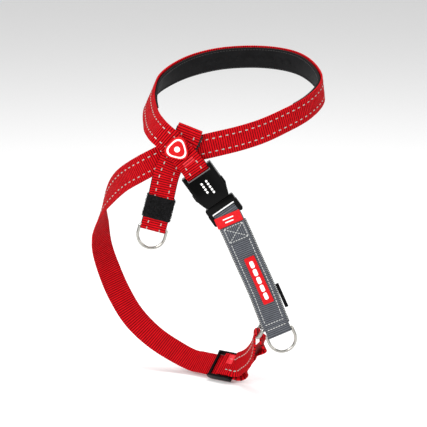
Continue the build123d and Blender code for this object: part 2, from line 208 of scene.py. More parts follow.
def joined(piece, *others):
    """Sews other pieces onto one, each with its own material."""
    deselect()
    for other in (piece, *others):
        other.select_set(True)
    bpy.context.view_layer.objects.active = piece
    bpy.ops.object.join()
    return piece


def thread_rows(name, rows, across, pitch, first, last, long=2.2 * mm, wide=0.8 * mm,
                level=webbing_thick / 2):
    """Rows of short threads on a strap's outer face, between two lengths along it."""
    deselect()
    bpy.ops.mesh.primitive_cube_add(size=1, location=(first + long / 2, across[0], level))
    bpy.ops.transform.resize(value=(long, wide, 0.42 * mm))
    thread = named(name)
    modify(thread, "BEVEL", width=0.12 * mm, segments=1)
    modify(thread, "ARRAY", count=max(1, int((last - first) / pitch)), use_relative_offset=False,
           use_constant_offset=True, constant_offset_displace=(pitch, 0, 0))
    if len(across) > 1:
        modify(thread, "ARRAY", count=len(across), use_relative_offset=False,
               use_constant_offset=True, constant_offset_displace=(0, across[1] - across[0], 0))
    map_flat(thread)
    return lay(thread, rows)


def colour(code):
    """Linear colour from an sRGB hex code."""
    parts = [int(code[i:i + 2], 16) / 255 for i in (0, 2, 4)]
    return tuple(c / 12.92 if c <= 0.04045 else ((c + 0.055) / 1.055) ** 2.4 for c in parts) + (1,)


def add(material, kind, sockets=None, **settings):
    """Adds one shader node with its settings.  A socket takes a value or another node's output."""
    made = material.node_tree.nodes.new("ShaderNode" + kind)
    for key, value in settings.items():
        setattr(made, key, value)
    for key, value in (sockets or {}).items():
        if isinstance(value, bpy.types.NodeSocket):
            material.node_tree.links.new(value, made.inputs[key])
        else:
            made.inputs[key].default_value = value
    return made


def new_material(name, sockets):
    """A material whose shader's own sockets are set, and its shader, which other nodes link into."""
    material = bpy.data.materials.new(name)
    material.use_nodes = True
    shader = material.node_tree.nodes["Principled BSDF"]
    for key, value in sockets.items():
        shader.inputs[key].default_value = value
    return material, shader


def link(material, output, socket):
    material.node_tree.links.new(output, socket)


def woven(name, rib, groove_shade, roughness=0.62, pitch=rib_pitch, yarn=0.95 * mm, relief=0.5 * mm, sheen=0.25):
    """Nylon webbing: filament yarns bundled in ribs, which give a satin colour on the ribs, with painted
    shade in the grooves between them as a darker colour laid there.  The yarns across a rib are drawn coarser
    than real to show."""
    material, shader = new_material(name, {"Roughness": roughness, "Sheen Weight": sheen,
                                           "Sheen Roughness": 0.4, "Specular IOR Level": 0.05})
    flat = add(material, "TexCoord").outputs["UV"]
    part = add(material, "SeparateXYZ", {0: flat})
    turn = add(material, "Math", {0: part.outputs["X"], 1: math.pi / pitch}, operation="MULTIPLY")
    swing = add(material, "Math", {0: turn.outputs[0]}, operation="SINE")
    ridge = add(material, "Math", {0: swing.outputs[0]}, operation="ABSOLUTE")
    yarns = add(material, "Math", {0: part.outputs["Y"], 1: 2 * math.pi / yarn}, operation="MULTIPLY")
    weave = add(material, "Math", {0: yarns.outputs[0]}, operation="SINE")
    cross = add(material, "Math", {0: weave.outputs[0], 1: swing.outputs[0]}, operation="MULTIPLY")
    height = add(material, "Math", {0: cross.outputs[0], 1: 0.28, 2: ridge.outputs[0]},
                 operation="MULTIPLY_ADD")
    fibre = add(material, "TexNoise", {"Vector": flat, "Scale": 1 / (6 * mm), "Detail": 4})
    # Painted shade: the dark second colour fills the grooves between the ribs, and the first colour is the
    # webbing's own.
    shade = add(material, "ValToRGB", {0: height.outputs[0]})
    shade.color_ramp.elements[0].position = 0.12
    shade.color_ramp.elements[0].color = colour(groove_shade)
    shade.color_ramp.elements[1].position = 0.85
    shade.color_ramp.elements[1].color = colour(rib)
    fade = add(material, "MapRange", {0: fibre.outputs["Fac"], 1: 0.3, 2: 0.7, 3: 0.86, 4: 1.08})
    tint = add(material, "HueSaturation", {"Color": shade.outputs["Color"], "Value": fade.outputs[0]})
    link(material, tint.outputs["Color"], shader.inputs["Base Color"])
    bump = add(material, "Bump", {"Height": height.outputs[0], "Strength": 1.0, "Distance": relief})
    link(material, bump.outputs["Normal"], shader.inputs["Normal"])
    return material


def thread(name, code, roughness=0.5, metallic=0.0):
    """Sewing or reflective thread: twisted polyester that reads as small bright grains."""
    material, shader = new_material(name, {"Roughness": roughness, "Metallic": metallic})
    place = add(material, "TexCoord").outputs["Object"]
    twist = add(material, "TexNoise", {"Vector": place, "Scale": 1 / (0.5 * mm), "Detail": 2})
    lift = add(material, "MapRange", {0: twist.outputs["Fac"], 1: 0.3, 2: 0.7, 3: 0.8, 4: 1.1})
    shade = add(material, "HueSaturation", {"Color": colour(code), "Value": lift.outputs[0]})
    link(material, shade.outputs["Color"], shader.inputs["Base Color"])
    bump = add(material, "Bump", {"Height": twist.outputs["Fac"], "Strength": 0.5, "Distance": 0.1 * mm})
    link(material, bump.outputs["Normal"], shader.inputs["Normal"])
    return material


# The second colour of each webbing is painted shade for the grooves between its ribs.
red_webbing = woven("ribbed_red_nylon_webbing", "d20a16", "300104", sheen=0.0)
reflective_thread = thread("pale_reflective_thread", "a9afa8", 0.4, 0.2)
red_thread = thread("red_polyester_thread", "f0303a")
black_thread = thread("black_polyester_thread", "0c0c0d")
pale_thread = thread("pale_grey_polyester_thread", "b9bab8")

bar_leave = female_bar + buckle_up * 0.05
bar_beyond = female_bar + buckle_up * 7
neck_route = [
    (bar_leave.x, strap_a_y, bar_leave.z), (bar_beyond.x, strap_a_y, bar_beyond.z),
    (-48, strap_a_y, -27), (-54, strap_a_y, -21), (-60, strap_a_y + 1.4, -16), (-65.5, -54, -12),
    (-69.5, -28, -7.5), (-70.5, 5, 0.5), (-62.5, 40, 9.5), (-39.5, 62, 18.7), (-16, 68.5, 23.8),
    (8, 69.5, 25.8), (32, 63, 25.8), (53.5, 45, 23.3), (67, 20, 16.5), (70.5, -5, 9),
    (58, -31, -1), (37, -46, -10),
    (20, -54, -16.3), (2, -59, -21.2), (-15, -61.2, -25), (-28, strap_b_y, -28), (-44, strap_b_y, -31.5)]
neck_widths = [
    (0.83, 0, 0.56), (0.83, 0, 0.56), (0.74, 0, 0.67), (0.74, 0, 0.67), (0.72, -0.05, 0.7),
    (0.62, -0.1, 0.78), (0.5, -0.2, 0.84),
    (0.42, -0.3, 0.85), (0.25, -0.35, 0.9), (0.1, -0.32, 0.94), (0, -0.31, 0.95), (0, -0.31, 0.95),
    (0, -0.31, 0.95), (-0.05, -0.3, 0.95), (-0.1, -0.3, 0.95), (-0.12, -0.25, 0.96), (-0.1, -0.2, 0.97),
    (-0.1, -0.15, 0.98), (-0.1, -0.1, 0.99), (-0.1, -0.05, 1), (-0.1, 0, 1), (-0.15, 0, 1), (-0.3, 0, 0.95)]
dash_across = (-5.2 * mm, 5.2 * mm)
dash_pitch = 5.4 * mm

neck_rows = strap_rows(neck_route, neck_widths)
under_bar = round_bar(female_bar * mm, neck_rows[0], 180)
tail_end = (under_bar[0][0] + buckle_up * 6 * mm, under_bar[0][1], under_bar[0][2])
neck_rows = [tail_end] + under_bar[:-1] + neck_rows
neck_length = length_of(neck_rows)
neck = webbing("neck_webbing_red", neck_rows, red_webbing)
neck_dashes = finished(thread_rows("neck_reflective_rows", neck_rows, dash_across, dash_pitch, 34 * mm,
                                   neck_length - 4 * mm), reflective_thread)
joined(neck, neck_dashes)
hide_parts("neck_webbing", "buckle_fold", "buckle_stitches")
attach(neck, "crossing")

# ---- Folded end of the neck webbing ----
# Below the crossing the webbing's end lies folded on the strap and is sewn down with a bar of
# zigzag thread, so that the strap stays round the buckle's bar.
fold_back = 15 * mm
fold_rows = strap_rows(neck_route, neck_widths, -webbing_thick, 0, 2)
folded_end = lay(flat_webbing("neck_folded_end", fold_back, webbing_width, webbing_thick * 0.8), fold_rows)
finished(folded_end, red_webbing)
fold_level = webbing_thick * 0.4
bar_spots = [(k - 4) * 1.1 * mm for k in range(9)]
bartack = finished(thread_rows("folded_end_bartack", fold_rows, bar_spots, 1.1 * mm, 9.4 * mm, 12.2 * mm,
                               2.3 * mm, 0.7 * mm, fold_level), red_thread)
fold_dashes = finished(thread_rows("folded_end_rows", fold_rows, dash_across, dash_pitch, 1 * mm, 14 * mm,
                                   level=fold_level), reflective_thread)
joined(folded_end, bartack, fold_dashes)
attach(folded_end, "crossing")

# ---- Lining of the neck loop ----
# A soft band of black knit-faced neoprene, sewn to the inside of the webbing along both edges.
# It is puffed flat first, as the foam does between its seams, and then laid inside the loop.
lining_first, lining_last = 6.0, 16.5
lining_width = 19 * mm
lining_thick = 3 * mm
lining_gap = 0.15 * mm


def puffed(name, length, width, thick, seam, rise, cell=2.2 * mm):
    """A flat foam band held down along its seams, puffed by a cloth simulation between them."""
    deselect()
    bpy.ops.mesh.primitive_grid_add(x_subdivisions=round(length / cell), y_subdivisions=10, size=1,
                                    location=(length / 2, 0, 0))
    bpy.ops.transform.resize(value=(length, width, 1))
    band = named(name)
    modify(band, "SOLIDIFY", thickness=thick - rise, offset=0)
    held = band.vertex_groups.new(name="seams")
    edge = [v.index for v in band.data.vertices
            if abs(v.co.y) > width / 2 - seam or v.co.x < seam or v.co.x > length - seam]
    held.add(edge, 1.0, "REPLACE")
    before = [v.co.copy() for v in band.data.vertices]
    cloth = band.modifiers.new("foam", "CLOTH")
    cloth.settings.use_pressure = True
    cloth.settings.uniform_pressure_force = 4
    cloth.settings.vertex_group_mass = "seams"
    cloth.settings.effector_weights.gravity = 0
    cloth.point_cache.frame_start = 1
    cloth.point_cache.frame_end = 20
    for step in range(1, 21):
        bpy.context.scene.frame_set(step)
    bpy.context.view_layer.objects.active = band
    bpy.ops.object.modifier_apply(modifier="foam")
    bpy.context.scene.frame_set(1)
    moved = [v.co - start for v, start in zip(band.data.vertices, before)]
    most = max(move.length for move in moved) or 1.0
    for v, start, move in zip(band.data.vertices, before, moved):
        v.co = start + move * (rise / 2 / most)
    modify(band, "SUBSURF", levels=1, render_levels=1)
    map_flat(band)
    return band


def neoprene(name, code):
    """Neoprene faced with fine knit: matt, with a pebbled surface that hardly shines."""
    material, shader = new_material(name, {"Roughness": 0.7, "Sheen Weight": 0.03, "Sheen Roughness": 0.5,
                                           "Specular IOR Level": 0.08})
    flat = add(material, "TexCoord").outputs["UV"]
    knit = add(material, "TexVoronoi", {"Vector": flat, "Scale": 1 / (1.1 * mm)})
    broad = add(material, "TexNoise", {"Vector": flat, "Scale": 1 / (9 * mm), "Detail": 3})
    fade = add(material, "MapRange", {0: broad.outputs["Fac"], 1: 0.3, 2: 0.7, 3: 0.75, 4: 1.25})
    tint = add(material, "HueSaturation", {"Color": colour(code), "Value": fade.outputs[0]})
    link(material, tint.outputs["Color"], shader.inputs["Base Color"])
    bump = add(material, "Bump", {"Height": knit.outputs["Distance"], "Strength": 0.5, "Distance": 0.2 * mm})
    link(material, bump.outputs["Normal"], shader.inputs["Normal"])
    return material


black_neoprene = neoprene("knit_faced_black_neoprene", "111112")
lining_lift = webbing_thick / 2 + lining_gap + lining_thick / 2
lining_rows = strap_rows(neck_route, neck_widths, lining_lift, lining_first, lining_last)
lining_length = length_of(lining_rows)
lining = puffed("neck_lining_pad", lining_length, lining_width, lining_thick, 2.4 * mm, 1.0 * mm)
finished(lay(lining, lining_rows), black_neoprene)
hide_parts("neck_lining")
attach(lining, "crossing")

inner_level = -(lining_thick / 2 - 0.35 * mm)
lining_seams = finished(thread_rows("neck_lining_seams", lining_rows, (-8 * mm, 8 * mm), 2.6 * mm, 2 * mm,
                                    lining_length - 2 * mm, 1.9 * mm, 0.6 * mm, inner_level), black_thread)
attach(lining_seams, "crossing")

emboss = []
pip_level = -(lining_thick / 2 + 0.02 * mm)
pip_pitch = 9 * mm
for k in range(9):
    deselect()
    bpy.ops.mesh.primitive_cylinder_add(vertices=24, radius=2.5 * mm, depth=0.5 * mm,
                                        location=(lining_length * 0.4 + k * pip_pitch, 0, pip_level))
    bpy.ops.transform.resize(value=(1.35, 1, 1))
    pip = named("lining_pip_%d" % k)
    modify(pip, "BEVEL", width=0.2 * mm, segments=2, limit_method="ANGLE")
    emboss.append(pip)
pips = joined(*emboss)
pips.name = "lining_embossed_pips"
map_flat(pips)
finished(lay(pips, lining_rows), black_neoprene)
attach(pips, "crossing")

# ---- Lower loop ----
# The same webbing goes on from the crossing round the muzzle, turns half over so that its plain
# inner face shows, passes under the slider, and turns round the link ring.
slider_spot = Vector((-8, -4, -224.5))
slider_run = Vector((0.8, -0.6, 0))
link_bar = Vector((17.4, -48, -184.5))
leg_gap = 2.3
straight = [tuple(slider_spot + slider_run * along) for along in (-32, -26, 12, 13.6)]
lower_route = [
    (-44, strap_b_y, -31.5), (-54, strap_b_y, -34), (-66, strap_b_y, -39.7), (-78.5, -56, -47.5),
    (-91, -44, -57.5),
    (-102.5, -26, -73), (-109, -9, -87.5), (-112, 12, -109.5), (-111.6, 24, -128), (-106, 33, -150.5),
    (-98, 37, -171.3), (-86.5, 36, -190.8), (-70, 31, -206.8), (-51.5, 24.5, -218), *straight,
    (7.6, -19, -217), (13.2, -27.5, -209), (18.8, -37, -200), (21.9, -44, -193.3),
    (link_bar.x + leg_gap, link_bar.y, link_bar.z - 4), (link_bar.x + leg_gap, link_bar.y, link_bar.z - 0.05)]
lower_rolls = [0, 0, 6, 18, 36, 62, 88, 128, 143, 157, 168, 165, 150, 143, 135, 135, 135, 135,
               118, 100, 92, 88, 90, 90]
lower_rows = strap_rows(lower_route, lower_rolls)
dashed_length = length_of(lower_rows[:7 * steps_per_station])
lower_rows = lower_rows + round_bar(link_bar * mm, lower_rows[-1], -90)[1:]
lower = webbing("lower_loop_webbing", lower_rows, red_webbing)
lower_dashes = finished(thread_rows("lower_loop_reflective_rows", lower_rows, dash_across, dash_pitch, 2 * mm,
                                    dashed_length), reflective_thread)
joined(lower, lower_dashes)
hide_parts("lower_strap_upper", "lower_strap_lower", "ring_wrap")
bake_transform(lower)

# ---- Return leg and sewn end ----
# From the link ring the webbing comes back over itself to the slider, where its end goes round the
# middle bar and is sewn down with a thick bar of zigzag thread.
slider_out = Vector((-0.4243, -0.5657, 0.7071))
wrap_rise = 3.8
sewn_radius = 1.9
middle_bar = slider_spot + slider_out * wrap_rise
leg_spots = [tuple(middle_bar + slider_run * along + slider_out * sewn_radius) for along in (11, 7.2, 3.4, 0)]
return_route = [
    (link_bar.x - leg_gap, link_bar.y, link_bar.z - 0.05), (link_bar.x - leg_gap, link_bar.y, link_bar.z - 4),
    (13.6, -43, -199), (10, -33.5, -208.5), (4.8, -23.5, -215.3), *leg_spots]
return_rolls = [90, 90, 82, 68, 55, 45, 45, 45, 45]
return_rows = strap_rows(return_route, return_rolls)
return_rows = round_bar(link_bar * mm, return_rows[0], 90)[:-1] + return_rows
leg_length = length_of(return_rows)
round_end = round_bar(middle_bar * mm, return_rows[-1], -180)
last_row = round_end[-1]
return_rows = return_rows + round_end[1:] + [(last_row[0] + slider_run * 5.6 * mm, last_row[1], last_row[2])]
return_leg = webbing("return_leg_webbing", return_rows, red_webbing)
leg_dashes = finished(thread_rows("return_leg_rows", return_rows, dash_across, 3.9 * mm, 12 * mm, leg_length,
                                  2.3 * mm), reflective_thread)
sewn_spots = [(k - 4) * 0.95 * mm - 4.6 * mm for k in range(9)]
sewn_bar = finished(thread_rows("sewn_end_bartack", return_rows, sewn_spots, 1.2 * mm, leg_length - 9 * mm,
                                leg_length - 4 * mm, 2.1 * mm, 0.7 * mm), red_thread)
joined(return_leg, leg_dashes, sewn_bar)
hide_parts("return_leg", "sewn_end")
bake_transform(return_leg)

# ---- Front tab ----
# A short doubled strap of the red webbing, looped over the crossing straps and down to its D-ring,
# with a black backing whose cut end is overlocked.
tab_y = -62.0
tab_tilt, tab_fold_tilt = math.radians(-15), math.radians(-22)
tab_up = Vector((-math.sin(tab_tilt), 0, math.cos(tab_tilt)))
tab_fold_up = Vector((-math.sin(tab_fold_tilt), 0, math.cos(tab_fold_tilt)))
tab_ring = Vector((-66.2, tab_y, -92.4))
tab_top = Vector((-37.2, tab_y, -14.2))
tab_route = [
    tuple(tab_ring + tab_up * 0.05), tuple(tab_ring + tab_up * 8), (-60.2, tab_y, -69.2), (-55, tab_y, -48),
    (-47.5, tab_y, -32), tuple(tab_top - tab_fold_up * 8), tuple(tab_top - tab_fold_up * 0.05)]
tab_rolls = [0] * len(tab_route)
front_rows = strap_rows(tab_route, tab_rolls, -fold_radius)
tab_rows = (round_bar(tab_ring * mm, front_rows[0], 180)[:-1] + front_rows
            + round_bar(tab_top * mm, front_rows[-1], -180)[1:])
tab_length = length_of(tab_rows)
tab_fold = math.pi * fold_radius
overlock_stitches = []
for k in range(12):
    deselect()
    bpy.ops.mesh.primitive_uv_sphere_add(segments=8, ring_count=6, radius=1, location=(
        tab_length - tab_fold - (1 + k * 1.35) * mm, -webbing_width / 2 - 0.5 * mm, -0.3 * mm))
    bpy.ops.transform.resize(value=(0.62 * mm, (1.3 + 0.7 * (k % 2)) * mm, 1.1 * mm))
    overlock_stitches.append(named("overlock_%02d" % k))
overlock = joined(*overlock_stitches)
overlock.name = "front_tab_overlocked_edge"
finished(lay(overlock, tab_rows), black_thread)
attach(overlock, "crossing")
tab = webbing("front_tab_webbing", tab_rows, red_webbing)
tab_dashes = finished(thread_rows("front_tab_rows", tab_rows, dash_across, dash_pitch, 5 * mm,
                                  tab_length - tab_fold * 0.6), reflective_thread)
joined(tab, tab_dashes)
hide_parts("tab_strap", "tab_top_fold", "tab_ring_fold", "tab_end_stitches")
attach(tab, "crossing")

# Its second colour is painted shade for the grooves between the ribs.
black_webbing = woven("ribbed_black_nylon_webbing", "161617", "050505", sheen=0.05)
backing_rows = strap_rows(tab_route, tab_rolls, fold_radius)
backing = webbing("front_tab_backing", backing_rows, black_webbing, webbing_width + 1 * mm)
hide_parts("tab_backing")
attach(backing, "crossing")

# ---- Loop-pile band on the tab ----
# A black hook-and-loop band, the soft side out, wrapped round the tab above its ring.  Its pile is a
# mat of tiny nylon loops.
band_height = 19 * mm
band_wide = webbing_width + 2.4 * mm
band_deep = 8.4 * mm
band_middle = (tab_ring + tab_up * 16.5) * mm
deselect()
bpy.ops.mesh.primitive_cube_add(size=1)
bpy.ops.transform.resize(value=(band_wide, band_deep, band_height))
pile_band = named("loop_pile_band")
modify(pile_band, "BEVEL", width=1.2 * mm, segments=3)
deselect()
pile_band.select_set(True)
bpy.ops.object.mode_set(mode="EDIT")
bpy.ops.mesh.select_all(action="SELECT")
bpy.ops.mesh.subdivide(number_cuts=24)
bpy.ops.object.mode_set(mode="OBJECT")
tufts = bpy.data.textures.new("pile_tufts", "CLOUDS")
tufts.noise_scale = 0.9 * mm
tufts.noise_depth = 2
modify(pile_band, "DISPLACE", texture=tufts, strength=1.0 * mm, mid_level=0.6)


def loop_pile(name, code):
    """Loop pile: brushed nylon loops, deep black, with a painted highlight on each tuft where it catches the
    light and painted shade between the tufts.
    """
    material, shader = new_material(name, {"Roughness": 0.85, "Sheen Weight": 0.05, "Sheen Roughness": 0.6,
                                           "Specular IOR Level": 0.08})
    place = add(material, "TexCoord").outputs["Object"]
    tuft = add(material, "TexVoronoi", {"Vector": place, "Scale": 1 / (1.3 * mm)})
    # Painted highlight: each tuft's middle is lightened, and painted shade darkens the rims between the
    # tufts.
    shade = add(material, "MapRange", {0: tuft.outputs["Distance"], 1: 0.0, 2: 0.7, 3: 1.9, 4: 0.4})
    tint = add(material, "HueSaturation", {"Color": colour(code), "Value": shade.outputs[0]})
    link(material, tint.outputs["Color"], shader.inputs["Base Color"])
    bump = add(material, "Bump", {"Height": tuft.outputs["Distance"], "Strength": 0.9, "Distance": 0.5 * mm})
    link(material, bump.outputs["Normal"], shader.inputs["Normal"])
    return material


black_pile = loop_pile("black_loop_pile", "0e0e0f")
draw = random.Random(7)
pile_loops = []
deselect()
bpy.ops.mesh.primitive_torus_add(major_segments=7, minor_segments=3, major_radius=0.75 * mm,
                                 minor_radius=0.09 * mm)
one_loop = named("pile_loop")
for k in range(520):
    side = draw.choice((-1, 1))
    on_face = draw.random() < 0.8
    aside, up = draw.uniform(-0.5, 0.5), draw.uniform(-0.48, 0.48) * band_height
    if on_face:
        spot = Vector((aside * band_wide, side * band_deep / 2, up))
    else:
        spot = Vector((side * band_wide / 2, aside * band_deep, up))
    tuft = one_loop.copy()
    tuft.data = one_loop.data.copy()
    bpy.context.collection.objects.link(tuft)
    angle = draw.uniform(0, math.pi)
    axis = Vector((draw.uniform(-1, 1), draw.uniform(-1, 1), 1)).normalized()
    turn = Matrix.Rotation(angle, 4, axis)
    upright = Matrix.Rotation(math.pi / 2, 4, "Y")
    tuft.data.transform(Matrix.Translation(spot) @ turn @ upright)
    pile_loops.append(tuft)
bpy.data.objects.remove(one_loop)
joined(pile_band, *pile_loops)
pile_band.data.transform(Matrix.Translation(band_middle) @ Matrix.Rotation(tab_tilt, 4, (0, -1, 0)))
finished(pile_band, black_pile)
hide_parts("tab_band")
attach(pile_band, "crossing")

# ---- Rubber badge over the crossing ----
# A rounded triangle of soft red rubber, moulded with a raised white ring and dot, riveted through
# both straps where they cross.
badge_up = Vector((math.sin(math.radians(45)), 0, math.cos(math.radians(45))))
badge_across = Vector((math.cos(math.radians(45)), 0, -math.sin(math.radians(45))))
badge_spot = Vector((-47.0, strap_a_y - 1.1, -27.6)) * mm


def rounded_triangle(name, radius, corner, low, high, soft):
    """A plate in the shape of a rounded triangle, which faces the front of the badge."""
    deselect()
    bpy.ops.mesh.primitive_circle_add(vertices=3, radius=radius, fill_type="NGON")
    bpy.ops.transform.rotate(value=math.radians(90), orient_axis="Z", center_override=(0, 0, 0))
    plate = named(name)
    modify(plate, "BEVEL", width=corner, segments=10, affect="VERTICES", limit_method="NONE")
    modify(plate, "SOLIDIFY", thickness=high - low, offset=0)
    if soft:
        modify(plate, "BEVEL", width=soft, segments=4, limit_method="ANGLE", angle_limit=math.radians(50))
    turn = Matrix((badge_across, badge_up, (0, -1, 0))).transposed().to_4x4()
    plate.data.transform(Matrix.Translation(badge_spot + Vector((0, -(low + high) / 2, 0))) @ turn)
    return plate


def rubber(name, code, roughness=0.48):
    """Moulded soft rubber: even colour, a low satin gloss and a very fine mould grain."""
    material, shader = new_material(name, {"Roughness": roughness, "IOR": 1.5, "Specular IOR Level": 0.15})
    place = add(material, "TexCoord").outputs["Object"]
    grain = add(material, "TexNoise", {"Vector": place, "Scale": 1 / (0.8 * mm), "Detail": 3})
    fade = add(material, "MapRange", {0: grain.outputs["Fac"], 1: 0.3, 2: 0.7, 3: 0.93, 4: 1.05})
    tint = add(material, "HueSaturation", {"Color": colour(code), "Value": fade.outputs[0]})
    link(material, tint.outputs["Color"], shader.inputs["Base Color"])
    bump = add(material, "Bump", {"Height": grain.outputs["Fac"], "Strength": 0.15, "Distance": 0.1 * mm})
    link(material, bump.outputs["Normal"], shader.inputs["Normal"])
    return material


red_rubber = rubber("moulded_red_rubber", "c40c14")
white_rubber = rubber("moulded_white_rubber", "f4f3f1")
badge_thick = 3.2 * mm
badge = finished(rounded_triangle("badge_body", 16 * mm, 11.6 * mm, 0, badge_thick, 0.9 * mm), red_rubber)
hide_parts("badge")
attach(badge, "crossing")
ring_low, ring_high = badge_thick - 0.3 * mm, badge_thick + 0.35 * mm
badge_ring = rounded_triangle("badge_ring", 13.4 * mm, 9.7 * mm, ring_low, ring_high, 0)
hole = rounded_triangle("badge_ring_hole", 11.0 * mm, 8.0 * mm, 0, badge_thick + 2 * mm, 0)
modify(badge_ring, "BOOLEAN", operation="DIFFERENCE", object=hole, solver="EXACT")
bpy.data.objects.remove(hole)
deselect()
bpy.ops.mesh.primitive_cylinder_add(vertices=40, radius=2.3 * mm, depth=0.65 * mm,
                                    location=badge_spot - Vector((0, badge_thick, 0)),
                                    rotation=(math.pi / 2, 0, 0))
dot = named("badge_dot")
joined(badge_ring, dot)
finished(modify(badge_ring, "BEVEL", width=0.15 * mm, segments=2, limit_method="ANGLE"), white_rubber)
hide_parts("badge_inlay")
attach(badge_ring, "crossing")

# ---- Side-release buckle ----
# Two halves moulded in black acetal, glossy, with rounded edges.  The arms of the male half snap into
# the windows at the sides of the female half, and are pinched to let it go.


def softened(name, node, width, segments=2):
    """A moulded part's own shape with its edges rounded, as a mould leaves them."""
    piece = nodes[node].copy()
    piece.data = nodes[node].data.copy()
    piece.name = piece.data.name = name
    bpy.context.collection.objects.link(piece)
    piece.parent = None
    piece.matrix_world = Matrix.Identity(4)
    for key in list(piece.keys()):
        if key.startswith("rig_"):
            del piece[key]
    deselect()
    piece.select_set(True)
    bpy.context.view_layer.objects.active = piece
    bpy.ops.object.mode_set(mode="EDIT")
    bpy.ops.mesh.select_all(action="SELECT")
    bpy.ops.mesh.remove_doubles(threshold=0.002 * mm)
    bpy.ops.mesh.dissolve_limited(angle_limit=math.radians(1))
    bpy.ops.object.mode_set(mode="OBJECT")
    modify(piece, "BEVEL", width=width, segments=segments, limit_method="ANGLE",
           angle_limit=math.radians(35), use_clamp_overlap=True)
    return piece


def acetal(name, code, roughness, grain, relief):
    """Moulded acetal: black, hard, with the mould's polish or spark grain on its skin."""
    material, shader = new_material(name, {"Roughness": roughness, "IOR": 1.48, "Specular IOR Level": 0.1})
    place = add(material, "TexCoord").outputs["Object"]
    skin = add(material, "TexNoise", {"Vector": place, "Scale": 1 / grain, "Detail": 3})
    gloss = add(material, "MapRange", {0: skin.outputs["Fac"], 1: 0.3, 2: 0.7, 3: roughness * 0.8,
                                       4: roughness * 1.25})
    link(material, gloss.outputs[0], shader.inputs["Roughness"])
    fade = add(material, "MapRange", {0: skin.outputs["Fac"], 1: 0.3, 2: 0.7, 3: 0.8, 4: 1.2})
    tint = add(material, "HueSaturation", {"Color": colour(code), "Value": fade.outputs[0]})
    link(material, tint.outputs["Color"], shader.inputs["Base Color"])
    bump = add(material, "Bump", {"Height": skin.outputs["Fac"], "Strength": 0.25, "Distance": relief})
    link(material, bump.outputs["Normal"], shader.inputs["Normal"])
    return material


gloss_acetal = acetal("polished_black_acetal", "020202", 0.16, 2.5 * mm, 0.05 * mm)
matt_acetal = acetal("spark_grained_black_acetal", "060606", 0.34, 0.6 * mm, 0.08 * mm)
moulded = [
    ("buckle_female_half", "buckle_female", "crossing", 0.5 * mm),
    ("buckle_male_half", "buckle_male", "handle", 0.45 * mm),
    ("latch_arm_left_side", "latch_arm_left", "latch_left", 0.3 * mm),
    ("latch_arm_right_side", "latch_arm_right", "latch_right", 0.3 * mm)]
for name, node, body, edge in moulded:
    part = finished(softened(name, node, edge), gloss_acetal)
    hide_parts(node)
    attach(part, body)

ticks = []
first_tick, tick_pitch = 11.5, 2.6
buckle_face = 4.33              # from the buckle's middle plane to its face, just proud of it
buckle_across = Vector((math.cos(buckle_tilt), 0, math.sin(buckle_tilt)))
buckle_turn = Matrix((buckle_across, buckle_up, (0, -1, 0))).transposed().to_4x4()
for column, (aside, count) in enumerate(((-2.2, 4), (2.2, 5))):
    for k in range(count):
        deselect()
        bpy.ops.mesh.primitive_plane_add(size=1)
        bpy.ops.transform.resize(value=(1.7 * mm, 1.9 * mm, 1))
        tick = named("buckle_tick_%d_%d" % (column, k))
        modify(tick, "BEVEL", width=0.6 * mm, segments=3, affect="VERTICES", limit_method="NONE")
        modify(tick, "SOLIDIFY", thickness=0.12 * mm, offset=0)
        spot = buckle_top - buckle_up * (first_tick + tick_pitch * k) + buckle_across * aside
        tick.data.transform(Matrix.Translation((spot + Vector((0, -buckle_face, 0))) * mm) @ buckle_turn)
        ticks.append(finished(tick, white_rubber))
tick_print = joined(*ticks)
tick_print.name = "buckle_printed_ticks"
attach(tick_print, "crossing")

# ---- Handle ----
# Grey webbing, folded round the buckle's bar and the end ring's bar over a soft grey pad whose edges
# are overlocked.  On it are a box-stitched patch, a ribbon tag, a rubber label and a small side tag.
handle_tilt = math.radians(23.6)
handle_length = 106.5
male_bar_drop = 31.0 + 0.3 + 12.0 - 1.5
male_bar = buckle_top - buckle_up * male_bar_drop
handle_up = Vector((-math.sin(handle_tilt), 0, math.cos(handle_tilt)))
handle_across = Vector((math.cos(handle_tilt), 0, math.sin(handle_tilt)))
handle_out = Vector((0, -1, 0))
end_bar = male_bar - handle_up * handle_length
handle_bow = 1.2
handle_spots = [(16, handle_bow), (40, handle_bow), (70, handle_bow), (handle_length - 8, 0),
                (handle_length - 0.05, 0)]
handle_route = [tuple(male_bar - buckle_up * 0.05), tuple(male_bar - buckle_up * 4)] + [
    tuple(male_bar - handle_up * down + handle_across * aside) for down, aside in handle_spots]
handle_rolls = [0] * len(handle_route)
handle_front = strap_rows(handle_route, handle_rolls, -fold_radius)
handle_back = strap_rows(handle_route, handle_rolls, fold_radius)
front_length = length_of(handle_front)
half_turn = math.pi * fold_radius
handle_rows = (round_bar(male_bar * mm, handle_front[0], 180)[:-1] + handle_front
               + round_bar(end_bar * mm, handle_front[-1], -180)[1:])
# Its second colour is painted shade for the grooves between the ribs.
grey_webbing = woven("ribbed_grey_nylon_webbing", "66696f", "2f3136", pitch=1.6 * mm, sheen=0.08)
handle = webbing("handle_webbing_grey", handle_rows, grey_webbing)
front_end = half_turn + front_length
edge_seams = finished(thread_rows("handle_edge_seams", handle_rows, (-7.6 * mm, 7.6 * mm), 2.6 * mm,
                                  half_turn + 26 * mm, front_end - 8 * mm, 1.8 * mm, 0.6 * mm), pale_thread)
end_seams = []
end_spots = [(i - 3) * 2.3 * mm for i in range(7)]
for k, up in enumerate((5.0, 9.5)):
    row = thread_rows("handle_end_seam_%d" % k, handle_rows, end_spots, 9 * mm, front_end - up * mm,
                      front_end - (up - 1) * mm, 0.75 * mm, 1.5 * mm)
    end_seams.append(finished(row, pale_thread))
joined(handle, edge_seams, *end_seams)
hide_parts("handle_webbing", "handle_top_fold", "handle_end_fold", "handle_end_stitches")
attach(handle, "handle")
handle_lining = webbing("handle_backing_grey", handle_back, grey_webbing)
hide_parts("handle_backing")
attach(handle_lining, "handle")

